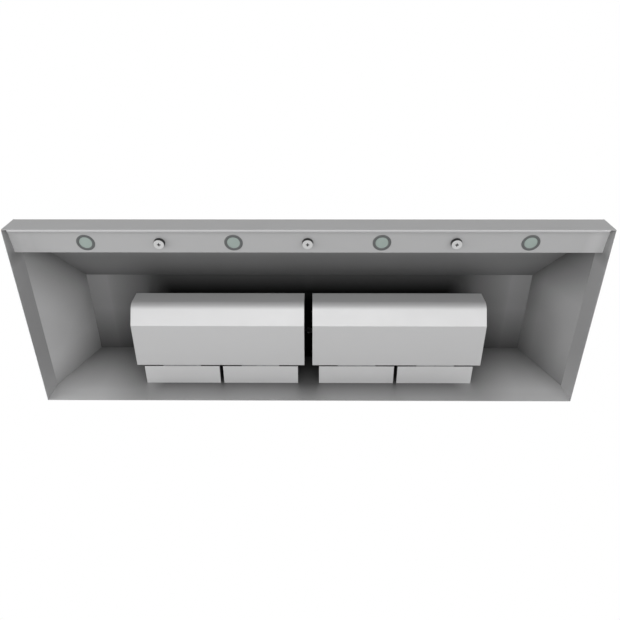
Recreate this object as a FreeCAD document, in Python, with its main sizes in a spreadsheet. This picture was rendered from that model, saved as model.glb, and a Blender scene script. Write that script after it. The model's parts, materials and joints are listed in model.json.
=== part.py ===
import FreeCAD, Part
import os
import re
import Sketcher
from FreeCAD import Placement, Rotation, Vector

# A wall mount range hood, in millimetres. X runs to the right, Y towards the wall and Z up.
# The origin lies on the wall face, in the middle of the row of wall screws.
SIZES = {
    # canopy
    "hood_width": 1524,
    "hood_depth": 533.4,
    "hood_height": 279.4,
    "rim_height": 73,
    "side_lean": 70,
    "roof_depth": 273,
    "sheet": 1.2,
    "slope_setback": 32,
    "ledge_lap": 10,
    "hem_depth": 7,
    "hem_rise": 8,
    "hem_relief": 13,
    "fold_radius": 2,
    # wall flange and its screws, on the pitch of wall studs
    "wall_flange": 45,
    "screw_row_drop": 20,
    "stud_pitch": 406.4,
    "wall_hole": 8,
    # lamp rail
    "rail_depth": 77,
    "rail_front_rise": 21.5,
    "rail_rear_rise": 35.5,
    "rail_flange": 12,
    "seam_gap": 0.3,
    "fit_gap": 0.3,
    "running_gap": 0.05,
    # lamps
    "lamp_inset": 29.7,
    "window_diameter": 33,
    "lens_seat": 2,
    "lens_thickness": 3,
    "trim_lap": 3.65,
    "trim_drop": 1.5,
    "can_wall": 1,
    "can_depth": 34,
    # knobs and their rotary controls, between the lamps
    "knob_diameter": 29,
    "knob_face_diameter": 27,
    "knob_height": 9.2,
    "knob_gap": 0.8,
    "recess_length": 10,
    "recess_width": 2.4,
    "recess_depth": 2,
    "stem_diameter": 6,
    "stem_reach": 13,
    "stem_room": 0.6,
    "control_side": 28,
    "control_depth": 20,
    # blower covers
    "cover_width": 498,
    "cover_gap": 24,
    "cover_reach": 260,
    "cover_front_height": 97.5,
    "slant_rise": 31.5,
    "slant_run": 54.5,
    "shoulder_run": 48,
    "cover_headroom": 16,
    "cover_rear_gap": 7.5,
    "bend_radius": 30,
    "cover_sheet": 1,
    # risers and plenum
    "riser_inset": 19.75,
    "riser_gap": 10.5,
    "riser_reach": 62.4,
    "riser_rise": 4.5,
    "plenum_depth": 40,
    "plenum_setback": 7,
    "plenum_gap": 0.5,
    "duct_sheet": 1,
    # cover nuts, on studs in the plenum's ends
    "stud_diameter": 5,
    "stud_reach": 150,
    "stud_room": 0.5,
    "nut_diameter": 14,
    "nut_thickness": 6,
    "nut_gap": 0.2,
    # blower: scroll, wheel, motor
    "scroll_radius": 75,
    "scroll_width": 112,
    "scroll_headroom": 3,
    "scroll_footroom": 4,
    "scroll_frontroom": 29,
    "mouth_height": 62,
    "inlet_diameter": 88,
    "wheel_gap": 16,
    "wheel_side_room": 7,
    "wheel_room": 2,
    "wheel_disc": 1.5,
    "ring_thickness": 3,
    "blade_depth": 9,
    "blade_thickness": 1.2,
    "blade_sweep": 5,
    "hub_diameter": 24,
    "hub_length": 20,
    "shaft_diameter": 8,
    "shaft_stub": 3,
    "motor_diameter": 90,
    "motor_length": 100,
    "bell_diameter": 40,
    "bell_length": 6,
    "cradle_length": 70,
    "cradle_depth": 50,
    "cradle_bite": 15,
    # duct collars and backdraft flaps
    "duct_diameter": 177.8,
    "collar_height": 50,
    "collar_flange": 10,
    "flange_gap": 3,
    "flange_inset": 10,
    "rod_diameter": 4,
    "rod_height": 16,
    "flap_room": 1.2,
    "flap_thickness": 0.8,
    "flap_gap": 0.45,
    "knuckle_wall": 1.1,
    "knuckle_length": 14,
    "knuckle_inner": 20,
    "knuckle_outer": 40,
    "tab_depth": 4,
    # wiring box
    "box_width": 120,
    "box_depth": 80,
    "box_height": 40,
    "box_reach": 110,
    "wire_hole": 22.2,
    "bushing_bore": 13,
    "bushing_flange": 3,
    "bushing_lip": 2.5,
    "lid_screw_inset": 10,
    # pan-head screws on the roof
    "screw_diameter": 4,
    "screw_room": 0.1,
    "head_diameter": 8,
    "head_height": 2.4,
    "screw_tail": 1.5,
}
BLADE_COUNT = 24
LAMP_STEPS = (-1.5, -0.5, 0.5, 1.5)
KNOB_STEPS = {"left": -1, "middle": 0, "right": 1}
UNIT_SIDES = {"left": -1, "right": 1}

# Places, fits and slopes that follow from the sizes.
DERIVED = {
    "roof_z": "screw_row_drop - wall_flange",
    "roof_under_z": "roof_z - sheet",
    "rim_bottom_z": "roof_z - hood_height",
    "rim_top_z": "rim_bottom_z + rim_height",
    "front_y": "-hood_depth",
    "roof_width": "hood_width - 2 * side_lean",
    "slope_rise": "hood_height - sheet - rim_height",
    "side_skin": "sheet * sqrt(side_lean ^ 2 + slope_rise ^ 2) / slope_rise",
    "slope_foot_y": "front_y + slope_setback",
    "front_run": "hood_depth - slope_setback - roof_depth",
    "front_skin": "sheet * sqrt(front_run ^ 2 + slope_rise ^ 2) / slope_rise",
    "inner_width": "hood_width - 2 * side_skin",
    "rail_slope": "(rail_rear_rise - rail_front_rise) / (rail_depth - sheet)",
    "rail_tilt": "atan(rail_slope)",
    "rail_skin": "sheet / cos(rail_tilt)",
    "rail_front_y": "front_y + sheet",
    "rail_rear_y": "front_y + rail_depth",
    "rail_front_z": "rim_bottom_z + rail_front_rise",
    "rail_rear_z": "rim_bottom_z + rail_rear_rise",
    "rail_wall_run": "rail_depth - sheet - slope_setback - front_skin",
    "rail_top_z": "rim_top_z + rail_wall_run * slope_rise / front_run - seam_gap",
    "lamp_pitch": "hood_width * 0.249",
    "lamp_y": "rail_rear_y - lamp_inset",
    "lamp_z": "rail_rear_z - lamp_inset * rail_slope",
    "lens_radius": "window_diameter / 2 + lens_seat",
    "can_radius": "lens_radius + fit_gap + can_wall",
    "lamp_hole_radius": "can_radius + fit_gap",
    "unit_x": "(cover_gap + cover_width) / 2",
    "riser_width": "(cover_width - riser_gap) / 2 - riser_inset",
    "riser_offset": "(riser_gap + riser_width) / 2",
    "riser_front_y": "-riser_reach",
    "plenum_half": "cover_width / 2 - cover_sheet - plenum_gap",
    "plenum_front_y": "shoulder_run + plenum_setback - cover_reach",
    "plenum_z": "roof_under_z - plenum_depth",
    "axle_y": "cover_sheet + scroll_frontroom + scroll_radius - cover_reach",
    "axle_z": "plenum_z - scroll_headroom - scroll_radius",
    "mouth_z": "axle_z - scroll_radius",
    "cover_floor_z": "mouth_z - scroll_footroom - cover_sheet",
    "cover_top_z": "roof_under_z - cover_headroom",
    "riser_floor_z": "cover_floor_z + riser_rise",
    "bend_turn": "atan(slant_run / slant_rise)",
    "floor_turn": "atan(slant_rise / slant_run)",
    "stud_z": "plenum_z + plenum_depth / 2",
    "wheel_radius": "scroll_radius - duct_sheet - wheel_gap",
    "wheel_width": "scroll_width - 2 * duct_sheet - 2 * wheel_side_room",
    "wheel_offset": "riser_offset - wheel_width / 2",
    "collar_bore": "duct_diameter / 2 - sheet",
    "flange_rear_y": "-sheet - flange_gap",
    "collar_y": "(plenum_front_y + flange_rear_y) / 2",
    "flange_half": "duct_diameter / 2 + collar_flange",
    "rod_z": "roof_z + rod_height",
    "flap_radius": "collar_bore - flap_room",
    "knuckle_radius": "rod_diameter / 2 + running_gap + knuckle_wall",
    "flap_edge": "knuckle_radius + flap_gap",
    "lid_z": "roof_z + box_height",
    "screw_hole": "screw_diameter / 2 + screw_room",
}

doc = FreeCAD.newDocument("range_hood")
sheet_table = doc.addObject("Spreadsheet::Sheet", "Sizes")
for row, (alias, size) in enumerate(SIZES.items(), start=1):
    sheet_table.set(f"A{row}", str(size))
    sheet_table.setAlias(f"A{row}", alias)
doc.recompute()
nodes = []


def expand(text):
    """Write a formula of size names as a formula of the sheet's cells."""
    def name_to_cell(match):
        name = match.group(0)
        if name in DERIVED:
            return f"({expand(DERIVED[name])})"
        if name in SIZES:
            return f"Sizes.{name}"
        return name
    return re.sub(r"[a-z_]+", name_to_cell, text)


def number(text):
    """The present value of a formula."""
    result = sheet_table.evalExpression(expand(text))
    return float(getattr(result, "Value", result))


def bind(thing, path, text):
    thing.setExpression(path, expand(text))


def place(thing, x, y, z):
    for letter, text in zip("xyz", (x, y, z)):
        bind(thing, f"Placement.Base.{letter}", text)
    return thing


def keep(thing):
    """Count a finished thing as one of the hood's nodes, under its own name."""
    thing.Label = thing.Name
    nodes.append(thing)
    return thing


def block(name, x, y, z):
    """A box between a low and a high formula on each axis."""
    box = doc.addObject("Part::Box", name)
    for side, (low, high) in zip(("Length", "Width", "Height"), (x, y, z)):
        bind(box, side, f"({high}) - ({low})")
    return place(box, x[0], y[0], z[0])


TURN_ONTO = {"x": Rotation(Vector(0, 1, 0), 90), "y": Rotation(Vector(1, 0, 0), -90), "z": Rotation()}


def rod(name, radius, along, x, y, z):
    """A cylinder along one axis, where that axis has a low and a high formula."""
    cylinder = doc.addObject("Part::Cylinder", name)
    cylinder.Placement = Placement(Vector(), TURN_ONTO[along])
    low, high = {"x": x, "y": y, "z": z}[along]
    bind(cylinder, "Radius", radius)
    bind(cylinder, "Height", f"({high}) - ({low})")
    start = [low if letter == along else text for letter, text in zip("xyz", (x, y, z))]
    return place(cylinder, *start)


def slab(name, foot, head):
    """A sloping sheet between a level rectangle at its foot and another at its head."""
    wedge = doc.addObject("Part::Wedge", name)
    wedge.Placement = Placement(Vector(), Rotation(Vector(1, 0, 0), 90))
    for mark, (x, y, z) in (("", foot), ("2", head)):
        bind(wedge, f"X{mark}min", x[0])
        bind(wedge, f"X{mark}max", x[1])
        bind(wedge, f"Z{mark}min", f"-({y[1]})")
        bind(wedge, f"Z{mark}max", f"-({y[0]})")
    bind(wedge, "Ymin", foot[2])
    bind(wedge, "Ymax", head[2])
    return wedge


def join(name, shapes):
    union = doc.addObject("Part::MultiFuse", name)
    union.Shapes = shapes
    union.Refine = True
    return union


def cut(name, base, tools):
    """The base without its tools."""
    difference = doc.addObject("Part::Cut", name)
    difference.Base = base
    difference.Tool = tools[0] if len(tools) == 1 else join(f"{name}_tools", tools)
    return difference


def group(name, solids):
    """Several like pieces under one name."""
    bundle = doc.addObject("Part::Compound", name)
    bundle.Links = solids
    return bundle


def origin_feature(body, role):
    return next(feature for feature in body.Origin.OriginFeatures if feature.Role == role)


def sketch_on(body, role, name):
    sketch = body.newObject("Sketcher::SketchObject", name)
    sketch.AttachmentSupport = [(origin_feature(body, role), "")]
    sketch.MapMode = "FlatFace"
    return sketch


def pin_point(sketch, index, position, x, y):
    """Hold a sketch point at two formulas."""
    for kind, axis, text in (("DistanceX", -2, x), ("DistanceY", -1, y)):
        if text == "0":
            sketch.addConstraint(Sketcher.Constraint("PointOnObject", index, position, axis))
        else:
            held = Sketcher.Constraint(kind, -1, 1, index, position, number(text))
            bind(sketch, f"Constraints[{sketch.addConstraint(held)}]", text)


def outline(sketch, corners):
    """A closed run of straight lines through corners given as formulas."""
    places = [Vector(number(x), number(y), 0) for x, y in corners]
    count = len(corners)
    first = sketch.GeometryCount
    for step in range(count):
        sketch.addGeometry(Part.LineSegment(places[step], places[(step + 1) % count]), False)
    for step in range(count):
        after = first + (step + 1) % count
        sketch.addConstraint(Sketcher.Constraint("Coincident", first + step, 2, after, 1))
    for step, (x, y) in enumerate(corners):
        pin_point(sketch, first + step, 1, x, y)


def ring_in(sketch, radius):
    """A circle about the sketch's origin."""
    index = sketch.addGeometry(Part.Circle(Vector(), Vector(0, 0, 1), number(radius)), False)
    pin_point(sketch, index, 3, "0", "0")
    size = sketch.addConstraint(Sketcher.Constraint("Radius", index, number(radius)))
    bind(sketch, f"Constraints[{size}]", radius)


def pad(body, sketch, name, length, both_ways=False):
    feature = body.newObject("PartDesign::Pad", name)
    feature.Profile = sketch
    bind(feature, "Length", length)
    feature.Midplane = both_ways
    return feature


def pocket(body, sketch, name, length):
    """A cut to both sides of its sketch."""
    doc.recompute()
    before = body.Shape.Volume
    feature = body.newObject("PartDesign::Pocket", name)
    feature.Profile = sketch
    bind(feature, "Length", length)
    feature.Midplane = True
    doc.recompute()
    if body.Shape.Volume >= before:
        raise RuntimeError(f"{name} cuts nothing")
    return feature


def round_folds(body, base, name, folds, radius):
    """Fillet the folds that run along X at the given (y, z) formulas."""
    doc.recompute()
    wanted = [(number(y), number(z)) for y, z in folds]
    near = 0.01
    edges = []
    for index, edge in enumerate(base.Shape.Edges, start=1):
        ends = [vertex.Point for vertex in edge.Vertexes]
        for y, z in wanted:
            if all(abs(end.y - y) < near and abs(end.z - z) < near for end in ends):
                edges.append(f"Edge{index}")
    fillet = body.newObject("PartDesign::Fillet", name)
    fillet.Base = (base, edges)
    bind(fillet, "Radius", radius)
    return fillet


def make_fascia():
    """The upright front: a channel with a ledge at the top and a hem at the bottom, notched beside the rims."""
    body = doc.addObject("PartDesign::Body", "fascia_channel")
    profile = sketch_on(body, "YZ_Plane", "fascia_profile")
    ledge_y = "slope_foot_y + ledge_lap"
    hem_y = "front_y + hem_depth"
    hem_top = "rim_bottom_z + hem_rise"
    outline(profile, [
        ("front_y", "rim_bottom_z"), ("front_y", "rim_top_z"), (ledge_y, "rim_top_z"),
        (ledge_y, "rim_top_z - sheet"), ("front_y + sheet", "rim_top_z - sheet"),
        ("front_y + sheet", "rim_bottom_z + sheet"), (f"{hem_y} - sheet", "rim_bottom_z + sheet"),
        (f"{hem_y} - sheet", hem_top), (hem_y, hem_top), (hem_y, "rim_bottom_z")])
    face = pad(body, profile, "fascia_sheet", "inner_width", both_ways=True)
    outer_folds = [("front_y", "rim_bottom_z"), ("front_y", "rim_top_z"), (hem_y, "rim_bottom_z")]
    round_folds(body, face, "fascia_folds", outer_folds, "fold_radius")
    notches = []
    for side, sign in UNIT_SIDES.items():
        end = ("inner_width / 2 - hem_relief", "inner_width / 2 + sheet")
        if sign < 0:
            end = tuple(f"-({x})" for x in reversed(end))
        notches.append(block(f"hem_notch_{side}", end, ("front_y + sheet", f"{hem_y} + sheet"),
                             ("rim_bottom_z - sheet", f"{hem_top} + sheet")))
    keep(cut("front_fascia", body, notches))


def make_slopes():
    """The front slope, and the two side panels, each an upright rim with a slope above it."""
    head_y = "-roof_depth"
    foot_x = "inner_width / 2"
    head_x = "roof_width / 2 - side_skin"
    keep(slab(
        "front_slope",
        ((f"-({foot_x})", foot_x), ("slope_foot_y", "slope_foot_y + front_skin"), "rim_top_z"),
        ((f"-({head_x})", head_x), (head_y, f"{head_y} + front_skin"), "roof_under_z")))
    for side, sign in UNIT_SIDES.items():
        outer, inner = "hood_width / 2", "hood_width / 2 - side_skin"
        top_outer, top_inner = "roof_width / 2", "roof_width / 2 - side_skin"
        if sign < 0:
            outer, inner = f"-({inner})", f"-({outer})"
            top_outer, top_inner = f"-({top_inner})", f"-({top_outer})"
        rim = block(f"side_rim_{side}", (inner, outer), ("front_y", "-sheet"), ("rim_bottom_z", "rim_top_z"))
        slope = slab(
            f"side_slope_{side}",
            ((inner, outer), ("slope_foot_y", "-sheet"), "rim_top_z"),
            ((top_inner, top_outer), (head_y, "-sheet"), "roof_under_z"))
        keep(join(f"side_panel_{side}", [rim, slope]))


def make_back_panel():
    """The upright back, with a flange above the roof for the wall screws."""
    body = doc.addObject("PartDesign::Body", "back_sheet")
    profile = sketch_on(body, "XZ_Plane", "back_profile")
    half = [("hood_width / 2", "rim_bottom_z"), ("hood_width / 2", "rim_top_z"),
            ("roof_width / 2", "roof_under_z"), ("roof_width / 2", "screw_row_drop")]
    outline(profile, half + [(f"-{x}", z) for x, z in reversed(half)])
    pad(body, profile, "back_thickness", "sheet")
    holes = [rod(f"wall_hole_{count}", "wall_hole / 2", "y", f"{step} * stud_pitch",
                 ("-2 * sheet", "sheet"), "0")
             for count, step in enumerate((-1.5, -0.5, 0.5, 1.5), start=1)]
    keep(cut("back_panel", body, holes))


def collar_screw_places():
    """The collar screws' places, in the corners of both collars' flanges."""
    rows = ("plenum_front_y + flange_inset", "flange_rear_y - flange_inset")
    return [(f"{sign} * unit_x + {across} * (flange_half - flange_inset)", y)
            for sign in UNIT_SIDES.values() for across in (-1, 1) for y in rows]


def make_roof():
    """The flat roof plate with its duct holes, collar screw holes and wire hole."""
    plate = block("roof_blank", ("-roof_width / 2", "roof_width / 2"), ("-roof_depth", "-sheet"),
                  ("roof_under_z", "roof_z"))
    deep = ("roof_under_z - sheet", "roof_z + sheet")
    tools = [rod(f"duct_hole_{side}", "collar_bore", "z", f"{sign} * unit_x", "collar_y", deep)
             for side, sign in UNIT_SIDES.items()]
    tools += [rod(f"roof_screw_hole_{count}", "screw_hole", "z", x, y, deep)
              for count, (x, y) in enumerate(collar_screw_places(), start=1)]
    tools.append(rod("roof_wire_hole", "wire_hole / 2", "z", "0", "-box_reach + box_depth / 2", deep))
    keep(cut("roof_plate", plate, tools))


def on_rail(thing, step):
    """Seat a thing that was made about the origin on the tilted rail."""
    thing.Placement = Placement(Vector(), Rotation(Vector(1, 0, 0), 10))
    bind(thing, "Placement.Rotation.Angle", "rail_tilt")
    return place(thing, f"{step} * lamp_pitch", "lamp_y", "lamp_z")


def make_rail():
    """The tilted strip behind the fascia. Its rear wall follows the side slopes at both ends."""
    body = doc.addObject("PartDesign::Body", "rail_sheet")
    profile = sketch_on(body, "YZ_Plane", "rail_profile")
    inner_z = "rail_front_z + rail_skin"
    wall_y = "rail_rear_y - sheet"
    outline(profile, [
        ("rail_front_y", "rail_front_z"), ("rail_rear_y", "rail_rear_z"), ("rail_rear_y", "rail_top_z"),
        (wall_y, "rail_top_z"), (wall_y, "rail_rear_z + rail_skin - sheet * rail_slope"),
        ("rail_front_y + sheet", f"{inner_z} + sheet * rail_slope"),
        ("rail_front_y + sheet", "rail_front_z + rail_flange"),
        ("rail_front_y", "rail_front_z + rail_flange")])
    pad(body, profile, "rail_length", "inner_width - 2 * seam_gap", both_ways=True)
    rail_y = ("front_y", "rail_rear_y + sheet")
    trims = []
    for side, sign in UNIT_SIDES.items():
        foot_x = ("inner_width / 2 - seam_gap", "hood_width")
        head_x = ("roof_width / 2 - side_skin - seam_gap", "hood_width")
        if sign < 0:
            foot_x, head_x = [tuple(f"-({x})" for x in reversed(pair)) for pair in (foot_x, head_x)]
        foot, head = (foot_x, rail_y, "rim_top_z"), (head_x, rail_y, "roof_under_z")
        trims.append(slab(f"rail_end_{side}", foot, head))
    deep = ("-3 * sheet", "4 * sheet")
    holes = [on_rail(join_alone(f"lamp_hole_{count}", "lamp_hole_radius", deep), step)
             for count, step in enumerate(LAMP_STEPS, start=1)]
    holes += [on_rail(join_alone(f"knob_hole_{side}", "stem_diameter / 2 + stem_room", deep), step)
              for side, step in KNOB_STEPS.items()]
    keep(cut("lamp_rail", body, holes + trims))


def join_alone(name, radius, deep):
    """A single upright cylinder about the origin, free to be placed as a whole."""
    return group(name, [rod(f"{name}_core", radius, "z", "0", "0", deep)])


def make_lamps():
    """Each lamp is a trim ring under the rail, a lens on the ring and a can over the lens."""
    for count, step in enumerate(LAMP_STEPS, start=1):
        trim = cut(
            f"lamp_trim_{count}",
            rod(f"trim_disc_{count}", "lamp_hole_radius + trim_lap", "z", "0", "0", ("-trim_drop", "0")),
            [rod(f"trim_window_{count}", "window_diameter / 2", "z", "0", "0",
                 ("-2 * trim_drop", "trim_drop"))])
        lens = join_alone(f"lamp_lens_{count}", "lens_radius", ("0", "lens_thickness"))
        can = cut(
            f"lamp_can_{count}",
            rod(f"can_outside_{count}", "can_radius", "z", "0", "0", ("0", "can_depth")),
            [rod(f"can_inside_{count}", "can_radius - can_wall", "z", "0", "0",
                 ("-can_wall", "can_depth - can_wall"))])
        for piece in (trim, lens, can):
            keep(on_rail(piece, step))


def make_knobs():
    """Each knob is a tapered disc on a stem, with a cross recess in its face, and turns in a rotary control."""
    face = "-knob_gap - knob_height"
    half_bar = ("-recess_length / 2", "recess_length / 2")
    half_wide = ("-recess_width / 2", "recess_width / 2")
    bar_deep = (f"{face} - recess_depth", f"{face} + recess_depth")
    for side, step in KNOB_STEPS.items():
        disc = doc.addObject("Part::Cone", f"knob_disc_{side}")
        bind(disc, "Radius1", "knob_face_diameter / 2")
        bind(disc, "Radius2", "knob_diameter / 2")
        bind(disc, "Height", "knob_height")
        place(disc, "0", "0", face)
        stem = rod(f"knob_stem_{side}", "stem_diameter / 2", "z", "0", "0",
                   ("-knob_gap - recess_depth", "sheet + stem_reach"))
        knob = cut(f"knob_{side}", join(f"knob_blank_{side}", [disc, stem]),
                   [block(f"recess_across_{side}", half_bar, half_wide, bar_deep),
                    block(f"recess_along_{side}", half_wide, half_bar, bar_deep)])
        half_side = ("-control_side / 2", "control_side / 2")
        control = cut(
            f"control_{side}",
            block(f"control_case_{side}", half_side, half_side, ("sheet", "sheet + control_depth")),
            [rod(f"control_bore_{side}", "stem_diameter / 2 + running_gap", "z", "0", "0",
                 ("-sheet", "sheet + stem_reach + fit_gap"))])
        for piece in (knob, control):
            keep(on_rail(piece, step))


def make_cover(side, sign):
    """The blower cover: a pan with an upright front, a slanted face, a floor and two end walls."""
    body = doc.addObject("PartDesign::Body", f"blower_cover_{side}")
    lip_z, bend_z = "cover_floor_z + cover_front_height", "cover_floor_z + slant_rise"
    floor_z, top_z = "cover_floor_z", "cover_top_z"
    front, slant, rear = "-cover_reach", "slant_run - cover_reach", "riser_front_y - cover_rear_gap"
    inner_bend = ("cover_sheet - cover_reach", f"{bend_z} + cover_sheet * tan(bend_turn / 2)")
    inner_slant = (f"{slant} + cover_sheet * tan(floor_turn / 2)", f"{floor_z} + cover_sheet")
    past_rear, past_top = f"{rear} + 5 * cover_sheet", f"{top_z} + 5 * cover_sheet"

    solid = sketch_on(body, "YZ_Plane", f"cover_profile_{side}")
    outline(solid, [(front, lip_z), (front, bend_z), (slant, floor_z), (rear, floor_z), (rear, top_z),
                    ("shoulder_run - cover_reach", top_z)])
    pad(body, solid, f"cover_block_{side}", "cover_width", both_ways=True)

    hollow = sketch_on(body, "YZ_Plane", f"cover_hollow_profile_{side}")
    outline(hollow, [inner_bend, inner_slant, (past_rear, inner_slant[1]), (past_rear, past_top),
                     (inner_bend[0], past_top)])
    shell = pocket(body, hollow, f"cover_hollow_{side}", "cover_width - 2 * cover_sheet")
    outer_fold = round_folds(body, shell, f"cover_outer_fold_{side}", [(front, bend_z)], "bend_radius")
    round_folds(body, outer_fold, f"cover_inner_fold_{side}", [inner_bend], "bend_radius - cover_sheet")

    notch = sketch_on(body, "YZ_Plane", f"cover_notch_profile_{side}")
    half = "(stud_diameter / 2 + stud_room)"
    notch_z = f"stud_z - {half}"
    outline(notch, [(f"-stud_reach - {half}", notch_z), (f"{half} - stud_reach", notch_z),
                    (f"{half} - stud_reach", past_top), (f"-stud_reach - {half}", past_top)])
    pocket(body, notch, f"cover_notches_{side}", "2 * cover_width")
    bind(body, "Placement.Base.x", f"{sign} * unit_x")
    keep(body)


def make_cover_nuts(side, sign):
    """A round nut on a stud at each end of the plenum, outside the cover's end walls."""
    y, z = "-stud_reach", "stud_z"
    pieces = []
    for end in (-1, 1):
        start = f"{sign} * unit_x + {end} * (plenum_half)"
        nut_near = f"{sign} * unit_x + {end} * (cover_width / 2 + nut_gap)"
        nut_far = f"{nut_near} + {end} * nut_thickness"
        stud_span = (start, nut_far) if end > 0 else (nut_far, start)
        nut_span = (nut_near, nut_far) if end > 0 else (nut_far, nut_near)
        mark = f"{side}_{'far' if end > 0 else 'near'}"
        stud = rod(f"cover_stud_{mark}", "stud_diameter / 2", "x", stud_span, y, z)
        nut = rod(f"cover_nut_{mark}", "nut_diameter / 2", "x", nut_span, y, z)
        pieces.append(join(f"cover_nut_and_stud_{mark}", [stud, nut]))
    keep(group(f"cover_nuts_{side}", pieces))


def around(centre, half):
    """A low and a high formula to each side of a centre."""
    return f"{centre} - ({half})", f"{centre} + ({half})"


def make_ducts(side, sign):
    """Two upright risers against the back panel, and the plenum over them under the roof."""
    centre = f"{sign} * unit_x"
    windows = []
    for place_name, step in (("outer", sign), ("inner", -sign)):
        riser_x = f"{centre} + {step} * riser_offset"
        mark = f"{place_name}_{side}"
        window = around(riser_x, "scroll_width / 2 - duct_sheet")
        outside = block(f"riser_outside_{mark}", around(riser_x, "riser_width / 2"),
                        ("riser_front_y", "-sheet"), ("riser_floor_z", "plenum_z"))
        bore_x = around(riser_x, "riser_width / 2 - duct_sheet")
        bore_y = ("riser_front_y + duct_sheet", "-sheet - duct_sheet")
        inside = block(f"riser_inside_{mark}", bore_x, bore_y,
                       ("riser_floor_z + duct_sheet", "plenum_z + duct_sheet"))
        inlet = block(f"riser_inlet_{mark}", window,
                      ("riser_front_y - duct_sheet", "riser_front_y + 2 * duct_sheet"),
                      ("mouth_z + duct_sheet", "mouth_z + mouth_height - duct_sheet"))
        keep(cut(f"riser_{mark}", outside, [inside, inlet]))
        windows.append(block(f"plenum_window_{mark}", bore_x, bore_y,
                             ("plenum_z - duct_sheet", "plenum_z + 2 * duct_sheet")))
    tray = block(f"plenum_outside_{side}", around(centre, "plenum_half"), ("plenum_front_y", "-sheet"),
                 ("plenum_z", "roof_under_z"))
    hollow = block(f"plenum_inside_{side}", around(centre, "plenum_half - duct_sheet"),
                   ("plenum_front_y + duct_sheet", "-sheet - duct_sheet"),
                   ("plenum_z + duct_sheet", "roof_z"))
    keep(cut(f"plenum_{side}", tray, [hollow] + windows))


def make_scroll(side, sign, place_name, step):
    """The housing round one wheel, open at both ends, with its mouth on the riser."""
    mark = f"{place_name}_{side}"
    centre = f"{sign} * unit_x + {step} * riser_offset"
    wide, bore = around(centre, "scroll_width / 2"), around(centre, "scroll_width / 2 - duct_sheet")
    mouth_top = "mouth_z + mouth_height"
    outside = join(f"scroll_outside_{mark}", [
        rod(f"scroll_drum_{mark}", "scroll_radius", "x", wide, "axle_y", "axle_z"),
        block(f"scroll_mouth_{mark}", wide, ("axle_y", "riser_front_y"), ("mouth_z", mouth_top))])
    ends = [(step, "inlet_diameter / 2", "inlet"), (-step, "wheel_radius + wheel_room", "motor_side")]
    openings = [rod(f"scroll_{title}_{mark}", radius, "x",
                    around(f"{centre} + {way} * scroll_width / 2", "2 * duct_sheet"), "axle_y", "axle_z")
                for way, radius, title in ends]
    keep(cut(f"scroll_{mark}", outside, openings + [
        rod(f"scroll_drum_inside_{mark}", "scroll_radius - duct_sheet", "x", bore, "axle_y", "axle_z"),
        block(f"scroll_mouth_inside_{mark}", bore, ("axle_y", "riser_front_y + duct_sheet"),
              ("mouth_z + duct_sheet", f"{mouth_top} - duct_sheet"))]))


def make_wheel(side, sign, place_name, step):
    """A blower wheel: a disc with a hub towards the motor, blades all round and an end ring."""
    mark = f"{place_name}_{side}"
    body = doc.addObject("PartDesign::Body", f"blower_wheel_{mark}")
    shaft, rim = "shaft_diameter / 2", "wheel_radius"

    disc = sketch_on(body, "XY_Plane", f"wheel_disc_{mark}")
    ring_in(disc, rim)
    ring_in(disc, shaft)
    pad(body, disc, f"wheel_plate_{mark}", "wheel_disc")
    boss = sketch_on(body, "XY_Plane", f"wheel_hub_{mark}")
    ring_in(boss, "hub_diameter / 2")
    ring_in(boss, shaft)
    pad(body, boss, f"wheel_boss_{mark}", "hub_length")

    inner_end, outer_end = f"{rim} - blade_depth", f"{rim} - blade_thickness"
    blade = sketch_on(body, "XY_Plane", f"wheel_blade_{mark}")
    outline(blade, [(inner_end, "-blade_thickness"), (outer_end, "blade_sweep"),
                    (outer_end, "blade_sweep + blade_thickness"), (inner_end, "blade_thickness / 4")])
    vane = pad(body, blade, f"wheel_vane_{mark}", "wheel_width - ring_thickness / 2")
    vanes = body.newObject("PartDesign::PolarPattern", f"wheel_vanes_{mark}")
    vanes.Originals = [vane]
    vanes.Axis = (origin_feature(body, "Z_Axis"), [""])
    vanes.Angle = 360
    vanes.Occurrences = BLADE_COUNT
    body.Tip = vanes

    end_ring = sketch_on(body, "XY_Plane", f"wheel_ring_{mark}")
    bind(end_ring, "AttachmentOffset.Base.z", "wheel_width - ring_thickness")
    ring_in(end_ring, rim)
    ring_in(end_ring, f"{inner_end} + blade_thickness / 2")
    body.Tip = pad(body, end_ring, f"wheel_end_{mark}", "ring_thickness")
    body.Placement = Placement(Vector(), Rotation(Vector(0, 1, 0), 90 * step))
    keep(place(body, f"{sign} * unit_x + {step} * wheel_offset", "axle_y", "axle_z"))


def make_motor(side, sign):
    """The motor with a bearing bell at each end, its through shaft, and its cradle under the plenum."""
    centre = f"{sign} * unit_x"
    case = join(f"motor_case_{side}", [
        rod(f"motor_barrel_{side}", "motor_diameter / 2", "x", around(centre, "motor_length / 2"),
            "axle_y", "axle_z"),
        rod(f"motor_bells_{side}", "bell_diameter / 2", "x",
            around(centre, "motor_length / 2 + bell_length"), "axle_y", "axle_z")])
    bore = rod(f"motor_bore_{side}", "shaft_diameter / 2 + running_gap", "x", around(centre, "motor_length"),
               "axle_y", "axle_z")
    keep(cut(f"motor_{side}", case, [bore]))
    keep(rod(f"motor_shaft_{side}", "shaft_diameter / 2", "x",
             around(centre, "wheel_offset + hub_length + shaft_stub"), "axle_y", "axle_z"))
    saddle = block(f"cradle_block_{side}", around(centre, "cradle_length / 2"),
                   around("axle_y", "cradle_depth / 2"),
                   ("axle_z + motor_diameter / 2 - cradle_bite", "plenum_z"))
    seat = rod(f"cradle_seat_{side}", "motor_diameter / 2", "x", around(centre, "motor_length"),
               "axle_y", "axle_z")
    keep(cut(f"motor_cradle_{side}", saddle, [seat]))


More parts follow.
